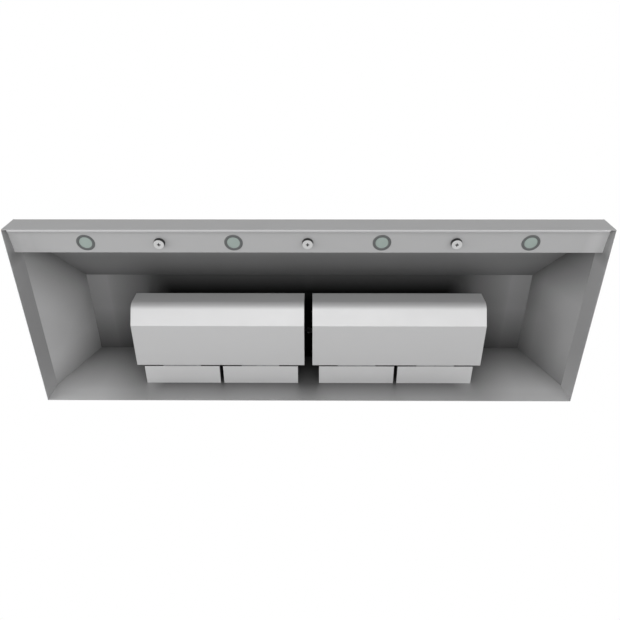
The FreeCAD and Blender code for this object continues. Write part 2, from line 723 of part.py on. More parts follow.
def make_collar(side, sign):
    """A round duct collar on a flat flange on the roof, with the flaps' rod across it."""
    x = f"{sign} * unit_x"
    top = "roof_z + collar_height"
    blank = join(f"collar_blank_{side}", [
        block(f"collar_plate_{side}", around(x, "flange_half"), ("plenum_front_y", "flange_rear_y"),
              ("roof_z", "roof_z + sheet")),
        rod(f"collar_tube_{side}", "duct_diameter / 2", "z", x, "collar_y", ("roof_z", top))])
    deep = ("roof_z - sheet", "roof_z + 2 * sheet")
    tools = [rod(f"collar_inside_{side}", "collar_bore", "z", x, "collar_y",
                 ("roof_z - sheet", f"{top} + sheet"))]
    places = [spot for spot in collar_screw_places() if spot[0].startswith(f"{sign} ")]
    tools += [rod(f"collar_screw_hole_{side}_{count}", "screw_hole", "z", *spot, deep)
              for count, spot in enumerate(places, start=1)]
    sleeve = cut(f"collar_sleeve_{side}", blank, tools)
    flap_rod = rod(f"flap_rod_{side}", "rod_diameter / 2", "x", around(x, "duct_diameter / 2 - sheet / 2"),
                   "collar_y", "rod_z")
    keep(join(f"duct_collar_{side}", [sleeve, flap_rod]))


def make_flap(side, sign, end, turn, knuckle_start):
    """A half-moon flap with two knuckles on the collar's rod."""
    mark = f"{end}_{side}"
    half = ("-flap_thickness / 2", "flap_thickness / 2")
    span = "2 * flap_radius"
    moon = cut(f"flap_moon_{mark}", rod(f"flap_disc_{mark}", "flap_radius", "z", "0", "0", half),
               [block(f"flap_cut_{mark}", around("0", span), (f"-{span}", "flap_edge"),
                      around("0", "flap_thickness"))])
    pieces = [moon]
    for way in (-1, 1):
        reach = (knuckle_start, f"{knuckle_start} + knuckle_length")
        if way < 0:
            reach = (f"-({reach[1]})", f"-({reach[0]})")
        hand = "low" if way < 0 else "high"
        pieces.append(rod(f"flap_knuckle_{mark}_{hand}", "knuckle_radius", "x", reach, "0", "0"))
        pieces.append(block(f"flap_tab_{mark}_{hand}", reach,
                            ("rod_diameter / 2", "flap_edge + tab_depth"), half))
    eye = rod(f"flap_eye_{mark}", "rod_diameter / 2 + running_gap", "x", around("0", span), "0", "0")
    flap = cut(f"flap_{mark}", join(f"flap_blank_{mark}", pieces), [eye])
    flap.Placement = Placement(Vector(), Rotation(Vector(0, 0, 1), turn))
    keep(place(flap, f"{sign} * unit_x", "collar_y", "rod_z"))


def make_wiring_box():
    """A wiring box on the roof between the collars, with its lid and cable bushing."""
    half_x = ("-box_width / 2", "box_width / 2")
    deep_y = ("-box_reach", "box_depth - box_reach")
    middle_y = "-box_reach + box_depth / 2"
    inside = block("box_inside", ("sheet - box_width / 2", "box_width / 2 - sheet"),
                   ("sheet - box_reach", "box_depth - box_reach - sheet"),
                   ("roof_z + sheet", "lid_z + sheet"))
    wire_way = rod("box_wire_hole", "wire_hole / 2", "z", "0", middle_y,
                   ("roof_z - sheet", "roof_z + 2 * sheet"))
    keep(cut("wiring_box", block("box_outside", half_x, deep_y, ("roof_z", "lid_z")), [inside, wire_way]))
    lid_deep = ("lid_z - sheet", "lid_z + 2 * sheet")
    lid_tools = [rod("lid_wire_hole", "wire_hole / 2", "z", "0", middle_y, lid_deep)]
    lid_tools += [rod(f"lid_screw_hole_{count}", "screw_hole", "z", x, middle_y, lid_deep)
                  for count, x in enumerate(lid_screw_x(), start=1)]
    keep(cut("wiring_lid", block("lid_blank", half_x, deep_y, ("lid_z", "lid_z + sheet")), lid_tools))
    bushing = join("bushing_blank", [
        rod("bushing_neck", "wire_hole / 2", "z", "0", middle_y, ("lid_z", "lid_z + sheet")),
        rod("bushing_head", "wire_hole / 2 + bushing_flange", "z", "0", middle_y,
            ("lid_z + sheet", "lid_z + sheet + bushing_lip"))])
    bore = rod("bushing_bore_tool", "bushing_bore / 2", "z", "0", middle_y,
               ("lid_z - sheet", "lid_z + 2 * sheet + bushing_lip"))
    keep(cut("cable_bushing", bushing, [bore]))


def lid_screw_x():
    inset = "box_width / 2 - lid_screw_inset"
    return [f"-({inset})", inset]


def make_screws():
    """The pan-head screws of the collars and of the wiring box's lid."""
    spots = [(x, y, "roof_z") for x, y in collar_screw_places()]
    spots += [(x, "-box_reach + box_depth / 2", "lid_z") for x in lid_screw_x()]
    screws = []
    for count, (x, y, z) in enumerate(spots, start=1):
        head_z = f"{z} + sheet"
        head = rod(f"screw_head_{count}", "head_diameter / 2", "z", x, y,
                   (head_z, f"{head_z} + head_height"))
        shank = rod(f"screw_shank_{count}", "screw_diameter / 2", "z", x, y,
                    (f"{z} - sheet - screw_tail", f"{head_z} + head_height / 2"))
        screws.append(join(f"roof_screw_{count}", [head, shank]))
    keep(group("roof_screws", screws))


def make_unit(side, sign):
    """One blower unit with its cover, ducts, wheels and motor, and the collar over it."""
    make_cover(side, sign)
    make_cover_nuts(side, sign)
    make_ducts(side, sign)
    for place_name, step in (("outer", sign), ("inner", -sign)):
        make_scroll(side, sign, place_name, step)
        make_wheel(side, sign, place_name, step)
    make_motor(side, sign)
    make_collar(side, sign)
    make_flap(side, sign, "rear", 0, "knuckle_inner")
    make_flap(side, sign, "front", 180, "knuckle_outer")


def check_and_write():
    """Recompute, check every object and solid, and write one file for each node."""
    doc.recompute()
    failed = [thing.Name for thing in doc.Objects if {"Invalid", "Error"} & set(thing.State)]
    failed += [node.Label for node in nodes if node.Shape.isNull() or not node.Shape.isValid()]
    if failed:
        raise RuntimeError(f"failed: {failed}")
    os.makedirs("parts", exist_ok=True)
    for node in nodes:
        node.Shape.exportStep(f"parts/{node.Label}.step")


make_fascia()
make_slopes()
make_back_panel()
make_roof()
make_rail()
make_lamps()
make_knobs()
for unit_side, unit_sign in UNIT_SIDES.items():
    make_unit(unit_side, unit_sign)
make_wiring_box()
make_screws()
check_and_write()
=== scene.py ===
import json
import math

import bmesh
import bpy
from mathutils import Matrix, Vector


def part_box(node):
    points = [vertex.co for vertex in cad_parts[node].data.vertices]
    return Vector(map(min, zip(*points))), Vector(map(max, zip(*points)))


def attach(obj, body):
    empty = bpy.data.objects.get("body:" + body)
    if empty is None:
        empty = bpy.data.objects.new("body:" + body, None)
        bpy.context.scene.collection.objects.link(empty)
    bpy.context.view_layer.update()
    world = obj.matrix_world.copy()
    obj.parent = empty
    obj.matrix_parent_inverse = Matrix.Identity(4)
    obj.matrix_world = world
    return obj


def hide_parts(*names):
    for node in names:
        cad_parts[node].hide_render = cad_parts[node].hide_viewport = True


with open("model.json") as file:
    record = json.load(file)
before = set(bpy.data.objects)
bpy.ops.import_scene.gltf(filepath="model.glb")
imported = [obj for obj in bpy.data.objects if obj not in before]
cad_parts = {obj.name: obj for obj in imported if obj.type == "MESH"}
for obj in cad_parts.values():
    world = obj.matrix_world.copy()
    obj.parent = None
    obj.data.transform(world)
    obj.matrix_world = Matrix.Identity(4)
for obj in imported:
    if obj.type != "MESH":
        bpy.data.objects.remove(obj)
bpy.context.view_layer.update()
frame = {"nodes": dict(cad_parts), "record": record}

# A wall mount range hood, in metres, seen from below and in front.
scene = bpy.context.scene
record = frame["record"]
nodes = frame["nodes"]
MM = 0.001
SIDES = ("left", "right")
RIGHT, LEFT = (1.0, 0.0, 0.0), (-1.0, 0.0, 0.0)
UP, DOWN, FORWARD = (0.0, 0.0, 1.0), (0.0, 0.0, -1.0), (0.0, -1.0, 0.0)
NOWHERE = (0.0, 0.0, 0.0)


# Small helpers for node trees

def fill(tree, socket, value):
    """Link a socket to another one, or set its plain value."""
    if isinstance(value, bpy.types.NodeSocket):
        tree.links.new(value, socket)
    else:
        socket.default_value = value


def feed(tree, node, **values):
    """Fill a node's inputs by name, with _ for a space."""
    for name, value in values.items():
        fill(tree, node.inputs[name.replace("_", " ")], value)
    return node


def add(tree, kind, **values):
    """A new node. Each value goes into the input of that name, with _ for a space, or else it is a setting."""
    node = tree.nodes.new(kind)
    for name, value in values.items():
        if name.replace("_", " ") in node.inputs:
            feed(tree, node, **{name: value})
        else:
            setattr(node, name, value)
    return node


def maths(tree, operation, *values, clamp=False):
    """A Math node fed by sockets or plain numbers."""
    node = add(tree, "ShaderNodeMath", operation=operation, use_clamp=clamp)
    for socket, value in zip(node.inputs, values):
        fill(tree, socket, value)
    return node.outputs[0]


def vectors(tree, operation, *values):
    """A Vector Math node fed by sockets or plain vectors."""
    node = add(tree, "ShaderNodeVectorMath", operation=operation)
    for socket, value in zip(node.inputs, values):
        fill(tree, socket, value)
    return node.outputs["Value" if operation in ("LENGTH", "DOT_PRODUCT") else "Vector"]


def vector(tree, x=0.0, y=0.0, z=0.0):
    return add(tree, "ShaderNodeCombineXYZ", X=x, Y=y, Z=z).outputs[0]


def split(tree, place):
    """The X, Y and Z of a vector."""
    return add(tree, "ShaderNodeSeparateXYZ", Vector=place).outputs


def half(tree, value):
    return maths(tree, "DIVIDE", value, 2.0)


def remains(tree, share):
    """What a share leaves of 1."""
    return maths(tree, "SUBTRACT", 1.0, share, clamp=True)


def fade(tree, distance, reach, curve=None):
    """1 at no distance and 0 past the reach, in a straight line or along a curve."""
    near = remains(tree, maths(tree, "DIVIDE", distance, reach))
    return near if curve is None else maths(tree, "POWER", near, curve)


def spread(tree, mask, low, high, start=0.0, end=1.0):
    """A mask turned into a range of values: low up to the start, and high from the end on."""
    node = add(tree, "ShaderNodeMapRange", Value=mask, From_Min=start, From_Max=end, To_Min=low, To_Max=high)
    return node.outputs["Result"]


def on_object(tree):
    """Where a point lies on its object."""
    return add(tree, "ShaderNodeTexCoord").outputs["Object"]


def noise(tree, place, scale, detail, roughness=0.5, distortion=0.0):
    """Soft noise over a place, as a mask."""
    node = add(tree, "ShaderNodeTexNoise", Vector=place, Scale=scale, Detail=detail, Roughness=roughness,
               Distortion=distortion)
    return node.outputs["Fac"]


def blend_colour(tree, amount, first, second):
    """A mix of two colours, each a socket or a plain colour."""
    node = add(tree, "ShaderNodeMix", data_type="RGBA", Factor=amount)
    for socket, colour in zip(node.inputs[6:8], (first, second)):
        fill(tree, socket, colour)
    return node.outputs[2]


def new_group(name, inputs, outputs):
    """A shader node group with named inputs, each a number or a vector, and named outputs."""
    tree = bpy.data.node_groups.new(name, "ShaderNodeTree")
    for title, value in inputs.items():
        kind = "NodeSocketVector" if isinstance(value, tuple) else "NodeSocketFloat"
        tree.interface.new_socket(title, in_out="INPUT", socket_type=kind).default_value = value
    for title in outputs:
        tree.interface.new_socket(title, in_out="OUTPUT", socket_type="NodeSocketFloat")
    given, out = tree.nodes.new("NodeGroupInput"), tree.nodes.new("NodeGroupOutput")
    return tree, given.outputs, out


def use_group(tree, group, **values):
    """Place a group in a tree and hand on its outputs."""
    return add(tree, "ShaderNodeGroup", node_tree=group, **values).outputs


# Effects shared by several finishes

AHEAD_START, AHEAD_REACH = 0.27, 0.1
ROOF_ROOM = 0.0004


def make_brushed_grain():
    """Fine drawn lines in sheet metal, stretched along one axis, with slow drifts of tone."""
    tree, size, out = new_group("brushed_grain", {"Stretch": (4.0, 900.0, 900.0), "Drift": 3.0},
                                ("Lines", "Drift"))
    place = on_object(tree)
    stretched = vectors(tree, "MULTIPLY", place, size["Stretch"])
    feed(tree, out, Lines=noise(tree, stretched, scale=1.0, detail=3.0, roughness=0.6),
         Drift=noise(tree, place, size["Drift"], detail=2.0))
    return tree


def make_wipe_marks():
    """Faint smears left by a cleaning cloth: broad patches broken by finer ones."""
    tree, size, out = new_group("wipe_marks", {"Scale": 9.0}, ("Smear",))
    patches = noise(tree, on_object(tree), size["Scale"], detail=4.0, roughness=0.62, distortion=0.8)
    feed(tree, out, Smear=spread(tree, patches, 0.0, 1.0, start=0.38, end=0.68))
    return tree


def make_painted_shade_masks():
    """Masks for painted shade: round a box, up under the roof, in the rear corner, behind the rail.

    Near is 1 in the box and fades over Reach. High is 1 at the roof and fades over Drop. Corner is 1 where roof and
    wall meet and fades over Corner Reach. Ahead is 0 at the blowers' front and 1 a hand's breadth before it. Under
    is 1 below the roof sheet and 0 above it.
    """
    tree, size, out = new_group("painted_shade_masks", {
        "Centre": NOWHERE, "Half": (0.1, 0.1, 0.1), "Reach": 0.1, "Curve": 1.5, "Roof": 0.0, "Drop": 0.12,
        "Wall": 0.0, "Corner Reach": 0.15}, ("Near", "High", "Corner", "Ahead", "Under"))
    place = on_object(tree)
    away = vectors(tree, "ABSOLUTE", vectors(tree, "SUBTRACT", place, size["Centre"]))
    outside = vectors(tree, "MAXIMUM", vectors(tree, "SUBTRACT", away, size["Half"]), NOWHERE)
    axes = split(tree, place)
    below = maths(tree, "SUBTRACT", size["Roof"], axes["Z"])
    before = maths(tree, "SUBTRACT", size["Wall"], axes["Y"])
    ahead = maths(tree, "SUBTRACT", before, AHEAD_START)
    feed(tree, out, Near=fade(tree, vectors(tree, "LENGTH", outside), size["Reach"], size["Curve"]),
         High=fade(tree, below, size["Drop"]),
         Corner=fade(tree, maths(tree, "ADD", below, before), size["Corner Reach"]),
         Ahead=maths(tree, "DIVIDE", ahead, AHEAD_REACH, clamp=True),
         Under=maths(tree, "GREATER_THAN", below, -ROOF_ROOM))
    return tree


def make_painted_fold_shade():
    """Painted shade in the fold between two panels, alike at both ends of the hood: 1 in the fold, and fading over
    Reach.

    Start is a point of the right-hand fold and Way is the direction that it runs in, of length 1.
    """
    tree, size, out = new_group("painted_fold_shade", {
        "Start": NOWHERE, "Way": UP, "Reach": 0.1, "Curve": 1.5}, ("Grime",))
    axes = split(tree, on_object(tree))
    one_end = vector(tree, maths(tree, "ABSOLUTE", axes["X"]), axes["Y"], axes["Z"])
    across = vectors(tree, "CROSS_PRODUCT", vectors(tree, "SUBTRACT", one_end, size["Start"]), size["Way"])
    feed(tree, out, Grime=fade(tree, vectors(tree, "LENGTH", across), size["Reach"], size["Curve"]))
    return tree


brushed_grain = make_brushed_grain()
wipe_marks = make_wipe_marks()
painted_shade_masks = make_painted_shade_masks()
painted_fold_shade = make_painted_fold_shade()


# Where the painted shade gathers

def middle_and_half(low, high):
    """A box's middle and its half sizes."""
    low, high = Vector(low), Vector(high)
    return tuple((low + high) / 2), tuple((high - low) / 2)


def fold_line(foot, head):
    """A fold's foot and the direction from it to its head."""
    foot, head = Vector(foot), Vector(head)
    return tuple(foot), tuple((head - foot).normalized())


SHEET, GAP_WALL_ROOM = 0.0012, 0.002
cover_low, cover_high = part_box("blower_cover_left")[0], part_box("blower_cover_right")[1]
slope_low, slope_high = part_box("front_slope")
roof_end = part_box("roof_plate")[1][0]
BLOWERS_MIDDLE, BLOWERS_HALF = middle_and_half(cover_low, (cover_high[0], 0.0, cover_high[2]))
RAIL_MIDDLE, RAIL_HALF = middle_and_half(*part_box("lamp_rail"))
ROOF_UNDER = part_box("roof_plate")[0][2]
WALL_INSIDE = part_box("back_panel")[1][1] - SHEET
COVER_GAP_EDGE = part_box("blower_cover_right")[0][0] + GAP_WALL_ROOM
FRONT_FOLD = fold_line((slope_high[0], slope_low[1], slope_low[2]), (roof_end, slope_high[1], ROOF_UNDER))
REAR_FOLD = fold_line((slope_high[0], WALL_INSIDE, slope_low[2]), (roof_end, WALL_INSIDE, ROOF_UNDER))
# Boxes of painted black shade: on the roof before the covers and in the gap between them, and on the wall behind
# that gap.
# Each has its middle, its half sizes and the reach over which it fades.
TROUGH_SHADE = ((0.0, cover_low[1] + 0.048, ROOF_UNDER), (0.43, 0.0, 0.0), 0.05)
SLOT_SHADE = ((0.0, -0.09, ROOF_UNDER), (0.013, 0.09, 0.0), 0.03)
WALL_SHADE = ((0.0, WALL_INSIDE, ROOF_UNDER - 0.022), (0.012, 0.01, 0.022), 0.012)


# Finishes

def grey(tone, blue=0.0):
    """A grey, with a little more or less blue in it."""
    return (tone, tone, tone + blue, 1.0)


def steel_greys(dark, light):
    return grey(dark, 0.003), grey(light, 0.003)


ALONG_X = (5.0, 1100.0, 1100.0)
ALONG_Y = (1100.0, 5.0, 1100.0)
STEEL_DRIFT = 2.2
LINE_SHARE, DRIFT_SHARE = 0.55, 0.45
STEEL_SMOOTH, STEEL_ROUGH, SMEAR_ROUGH = 0.44, 0.56, 0.05
PANEL_SMEARS, COVER_SMEARS = 7.0, 16.0
PANEL_TONES = steel_greys(0.430, 0.480)
# Painted light: the inner faces take a brighter tone than the outer faces.
INNER_LIGHT_TONES = steel_greys(0.670, 0.720)
COVER_TONES = steel_greys(0.515, 0.566)
RISER_TONES = steel_greys(0.580, 0.630)
RAIL_TONES = steel_greys(0.417, 0.467)
# Painted light: the brighter tone at the ends of the rail.
RAIL_END_LIGHT_TONES = steel_greys(0.675, 0.725)
# Painted shade: the near-black tone laid where shade falls, and the low specular level of the shaded finishes.
SHADE_TONE = grey(0.004)
SHADE_SPECULAR = 0.1
STEEL_METALLIC = 0.4
FINE_RELIEF = 0.0002
# The rims: how squarely a face looks inward to count as one, and the painted shade on them beside the rail
RIM_LEAST, RIM_STEEP = 0.96, 50.0
RIM_SHADE, RIM_SHADE_REACH = 0.4, 0.035
RAIL_END_LIGHT_REACH, RAIL_END_LIGHT_CURVE = 0.055, 0.6
# Painted shade: on the covers' front faces, on their end walls in the gap, and on the risers' upright faces.
COVER_FRONT_LEAST, COVER_FRONT_SHADE = 0.7, 0.04
GAP_SHADE, GAP_SHADE_SMEARED = 0.93, 0.80
RISER_UPRIGHT_SHADE = 0.8
METAL_SWAY, COAT_SWAY = 0.08, 0.07


def new_finish(name, roughness, metallic, **plain):
    """A material with a Principled BSDF whose constant values are set on its own sockets."""
    material = bpy.data.materials.new(name)
    material.use_nodes = True
    tree = material.node_tree
    shader = tree.nodes["Principled BSDF"]
    feed(tree, shader, Roughness=roughness, Metallic=metallic, **plain)
    return material, tree, shader


def relief(tree, height, strength, depth=FINE_RELIEF):
    """A shallow bump in the surface."""
    return add(tree, "ShaderNodeBump", Strength=strength, Distance=depth, Height=height).outputs["Normal"]


def new_steel(name, stretch=ALONG_X, **plain):
    """Satin sheet steel that still wants its colour: rough along its drawn lines and under cloth smears."""
    material, tree, shader = new_finish(name, 0.5, STEEL_METALLIC, **plain)
    grain = use_group(tree, brushed_grain, Stretch=stretch, Drift=STEEL_DRIFT)
    smear = use_group(tree, wipe_marks, Scale=PANEL_SMEARS)["Smear"]
    rough = maths(tree, "ADD", spread(tree, grain["Lines"], STEEL_SMOOTH, STEEL_ROUGH),
                  maths(tree, "MULTIPLY", smear, SMEAR_ROUGH))
    feed(tree, shader, Roughness=rough, Normal=relief(tree, grain["Lines"], strength=0.05))
    return material, tree, shader, grain


def steel_tone(tree, grain, tones):
    """The drawn lines and the slow drift of tone, as one colour."""
    lines = maths(tree, "MULTIPLY", grain["Lines"], LINE_SHARE)
    drift = maths(tree, "MULTIPLY", grain["Drift"], DRIFT_SHARE)
    return blend_colour(tree, maths(tree, "ADD", lines, drift, clamp=True), *tones)


def facing(tree, way, least=0.0, steep=4.0):
    """1 on faces that look along one way, 0 on faces turned from it so far that the cosine is under the least."""
    normal = add(tree, "ShaderNodeNewGeometry").outputs["Normal"]
    along = vectors(tree, "DOT_PRODUCT", normal, way)
    return maths(tree, "MULTIPLY", maths(tree, "SUBTRACT", along, least), steep, clamp=True)


def make_panel_steel():
    """Plain sheet steel."""
    material, tree, shader, grain = new_steel("panel_steel")
    feed(tree, shader, Base_Color=steel_tone(tree, grain, PANEL_TONES))
    return material


def make_shaded_steel(name, stretch, inside, dull=0.0, near=0.0, reach=0.1, curve=1.5, narrow=0.0, high=0.0,
                      drop=0.12, corner=0.0, corner_reach=0.15, ahead=0.0, front_fold=None, rear_fold=None,
                      rim=None, black_shade=()):
    """Sheet steel whose inner face has painted light, a brighter tone than its outer face, under painted shade.

    The painted shade covers so much overall (Dull) and so much in each place where it gathers. Narrow brings the
    blowers' box in at both ends. A fold has the share of painted shade in it, and its reach. The rim is the way
    that an upright rim looks, whose faces take a brighter tone than the outer face, with painted shade beside the
    rail.
    Black shade is a list of boxes painted black where shade falls.
    """
    material, tree, shader, grain = new_steel(name, stretch, Specular_IOR_Level=SHADE_SPECULAR)
    box = (BLOWERS_HALF[0] - narrow, BLOWERS_HALF[1], BLOWERS_HALF[2])
    shade_masks = use_group(tree, painted_shade_masks, Centre=BLOWERS_MIDDLE, Half=box, Reach=reach, Curve=curve, Roof=ROOF_UNDER,
                     Drop=drop, Wall=WALL_INSIDE, Corner_Reach=corner_reach)
    layers = [(shade_masks["Near"], near), (shade_masks["High"], high), (shade_masks["Corner"], corner), (shade_masks["Ahead"], ahead)]
    for fold, line in ((front_fold, FRONT_FOLD), (rear_fold, REAR_FOLD)):
        if fold:
            fold_shade = use_group(tree, painted_fold_shade, Start=line[0], Way=line[1], Reach=fold[1])
            layers.append((fold_shade["Grime"], fold[0]))
    for middle, sizes, shade_reach in black_shade:
        black = use_group(tree, painted_shade_masks, Centre=middle, Half=sizes, Reach=shade_reach, Curve=1.0)
        layers.append((black["Near"], 1.0))
    # Painted shade: every mask darkens the inner face by its share.
    clear = 1.0 - dull
    for mask, share in layers:
        if share:
            clear = maths(tree, "MULTIPLY", clear, remains(tree, maths(tree, "MULTIPLY", mask, share)))
    inward = maths(tree, "MULTIPLY", facing(tree, inside), shade_masks["Under"])
    shaded = maths(tree, "MULTIPLY", remains(tree, clear), inward)
    # Painted light: inner faces under the roof take the brighter tone.
    unshaded_tone = blend_colour(tree, inward, steel_tone(tree, grain, PANEL_TONES), steel_tone(tree, grain, INNER_LIGHT_TONES))
    # Painted light and shade on the rims: their own brighter tone, with painted shade beside the rail.
    if rim:
        beside = use_group(tree, painted_shade_masks, Centre=RAIL_MIDDLE, Half=RAIL_HALF, Reach=RIM_SHADE_REACH, Curve=1.0)
        rim_shade = maths(tree, "MULTIPLY", beside["Near"], RIM_SHADE)
        rim_tone = blend_colour(tree, rim_shade, steel_tone(tree, grain, COVER_TONES), SHADE_TONE)
        unshaded_tone = blend_colour(tree, facing(tree, rim, RIM_LEAST, RIM_STEEP), unshaded_tone, rim_tone)
    feed(tree, shader, Base_Color=blend_colour(tree, shaded, unshaded_tone, SHADE_TONE))
    return material


def make_rail_steel():
    """Sheet steel for the lamp rail, with painted light at both ends: a brighter tone where the rims shade it."""
    material, tree, shader, grain = new_steel("rail_steel")
    # Painted light: the rail's last stretch at each end takes the brighter tone.
    middle = use_group(tree, painted_shade_masks, Half=(RAIL_HALF[0] - RAIL_END_LIGHT_REACH, 1.0, 1.0), Reach=RAIL_END_LIGHT_REACH,
                       Curve=RAIL_END_LIGHT_CURVE)
    end_light, plain = (steel_tone(tree, grain, tones) for tones in (RAIL_END_LIGHT_TONES, RAIL_TONES))
    feed(tree, shader, Base_Color=blend_colour(tree, middle["Near"], end_light, plain))
    return material


def make_cover_steel():
    """Bright sheet steel for the covers, with painted black shade on the two end walls that face each other across
    the gap, broken by smears, and light painted shade on the front faces.
    """
    material, tree, shader, grain = new_steel("cover_steel", Specular_IOR_Level=SHADE_SPECULAR)
    across = maths(tree, "ABSOLUTE", split(tree, on_object(tree))["X"])
    near = maths(tree, "LESS_THAN", across, COVER_GAP_EDGE)
    endways = maths(tree, "MAXIMUM", facing(tree, RIGHT), facing(tree, LEFT))
    front = maths(tree, "MULTIPLY", facing(tree, FORWARD, COVER_FRONT_LEAST), COVER_FRONT_SHADE)
    smear = use_group(tree, wipe_marks, Scale=COVER_SMEARS)["Smear"]
    # Painted shade: near black on the end walls in the gap, a little on the front faces.
    gap_shade = maths(tree, "MULTIPLY", near, spread(tree, smear, GAP_SHADE, GAP_SHADE_SMEARED))
    shaded = maths(tree, "MAXIMUM", maths(tree, "MULTIPLY", gap_shade, endways), front)
    feed(tree, shader, Base_Color=blend_colour(tree, shaded, steel_tone(tree, grain, COVER_TONES), SHADE_TONE))
    return material


def make_riser_steel():
    """Bright sheet steel for the risers, with painted shade on every upright face."""
    material, tree, shader, grain = new_steel("riser_steel", Specular_IOR_Level=SHADE_SPECULAR)
    # Painted shade on the upright faces.
    upright = maths(tree, "MULTIPLY", remains(tree, facing(tree, DOWN)), RISER_UPRIGHT_SHADE)
    feed(tree, shader, Base_Color=blend_colour(tree, upright, steel_tone(tree, grain, RISER_TONES), SHADE_TONE))
    return material


def make_zinc_sheet():
    """Zinc-coated duct sheet with a soft crystal pattern."""
    material, tree, shader = new_finish("zinc_sheet", 0.5, 1.0)
    cells = add(tree, "ShaderNodeTexVoronoi", Vector=on_object(tree), Scale=70.0)
    crystal = add(tree, "ShaderNodeSeparateColor", Color=cells.outputs["Color"]).outputs
    feed(tree, shader,
         Base_Color=blend_colour(tree, crystal[0], (0.30, 0.305, 0.31, 1.0), (0.40, 0.405, 0.41, 1.0)),
         Roughness=spread(tree, crystal[1], 0.40, 0.58), Normal=relief(tree, crystal[0], strength=0.03))
    return material


def make_plain_metal(name, dark, light, roughness, scale):
    """Plain metal with fine mottling."""
    material, tree, shader = new_finish(name, roughness, 1.0)
    mottle = noise(tree, on_object(tree), scale, detail=4.0, roughness=0.6)
    feed(tree, shader, Base_Color=blend_colour(tree, mottle, dark, light),
         Roughness=spread(tree, mottle, roughness - METAL_SWAY, roughness + METAL_SWAY),
         Normal=relief(tree, mottle, strength=0.04))
    return material


def make_coat(name, dark, light, roughness, scale, depth, **plain):
    """Paint, rubber or moulded plastic with a fine skin texture."""
    material, tree, shader = new_finish(name, roughness, 0.0, **plain)
    skin = noise(tree, on_object(tree), scale, detail=3.0, roughness=0.55)
    feed(tree, shader, Base_Color=blend_colour(tree, skin, dark, light),
         Roughness=spread(tree, skin, roughness - COAT_SWAY, roughness + COAT_SWAY),
         Normal=relief(tree, skin, strength=0.15, depth=depth))
    return material


def make_frosted_glass():
    """Frosted lamp glass with a faint green cast."""
    material, tree, shader = new_finish("frosted_glass", 0.55, 0.0)
    frost = noise(tree, on_object(tree), scale=900.0, detail=2.0)
    feed(tree, shader,
         Base_Color=blend_colour(tree, frost, (0.285, 0.345, 0.32, 1.0), (0.335, 0.39, 0.365, 1.0)),
         Normal=relief(tree, frost, strength=0.08, depth=0.0001))
    return material


panel_steel = make_panel_steel()
rail_steel = make_rail_steel()
# Each inner finish carries painted shade, overall and where it gathers, and painted light on its inner face.
roof_steel = make_shaded_steel(
    "roof_steel", ALONG_X, DOWN, dull=0.645, near=0.837, reach=0.175, curve=0.71, narrow=0.056,
    corner=0.625, corner_reach=0.15, black_shade=(TROUGH_SHADE, SLOT_SHADE))
slope_steel = make_shaded_steel(
    "slope_steel", ALONG_X, DOWN, dull=0.144, near=0.20, reach=0.138, curve=0.806, narrow=0.057,
    high=0.651, drop=0.114, ahead=0.426, front_fold=(0.153, 0.081))
back_steel = make_shaded_steel(
    "back_steel", ALONG_X, FORWARD, dull=0.05, near=0.777, reach=0.192, curve=1.25, narrow=0.078,
    corner=0.70, corner_reach=0.229, rear_fold=(0.15, 0.06), black_shade=(WALL_SHADE,))
left_side_steel = make_shaded_steel(
    "left_side_steel", ALONG_Y, DOWN, high=0.10, drop=0.04, corner=0.26, corner_reach=0.25, ahead=0.03,
    front_fold=(0.70, 0.162), rear_fold=(0.365, 0.103), rim=RIGHT)
right_side_steel = make_shaded_steel(
    "right_side_steel", ALONG_Y, DOWN, dull=0.325, high=0.225, drop=0.057, ahead=0.236,
    front_fold=(0.642, 0.132), rear_fold=(0.435, 0.162), rim=LEFT)
cover_steel = make_cover_steel()
riser_steel = make_riser_steel()
zinc_sheet = make_zinc_sheet()
wheel_metal = make_plain_metal("wheel_metal", (0.24, 0.245, 0.25, 1.0), (0.34, 0.345, 0.35, 1.0), 0.5, 90.0)
shaft_metal = make_plain_metal("shaft_metal", grey(0.42), grey(0.52), 0.28, 200.0)
plated_metal = make_plain_metal("plated_metal", grey(0.50, -0.01), grey(0.60, -0.01), 0.25, 400.0)
spun_aluminium = make_plain_metal("spun_aluminium", grey(0.42, 0.01), grey(0.52, 0.01), 0.45, 120.0)
trim_metal = make_coat("trim_metal", (0.085, 0.09, 0.09, 1.0), (0.115, 0.12, 0.12, 1.0), 0.4, 300.0, 0.0001)
knob_face = make_coat("knob_face", grey(0.54), grey(0.62), 0.4, 500.0, 0.0001)
knob_skirt = make_coat("knob_skirt", grey(0.010), grey(0.016), 0.5, 900.0, 0.0001)
control_plastic = make_coat("control_plastic", grey(0.02), grey(0.035), 0.55, 500.0, 0.0002)
# Painted shade: the cover nuts are near black, so that they stay dark in the shaded gap between the covers.
nut_painted_shade = make_coat("nut_painted_shade", grey(0.006), grey(0.010), 0.6, 700.0, 0.0002,
                        Specular_IOR_Level=SHADE_SPECULAR)
motor_paint = make_coat("motor_paint", grey(0.03, 0.002), grey(0.05, 0.002), 0.4, 250.0, 0.0003)
bushing_rubber = make_coat("bushing_rubber", grey(0.015), grey(0.03), 0.65, 600.0, 0.0002)
frosted_glass = make_frosted_glass()

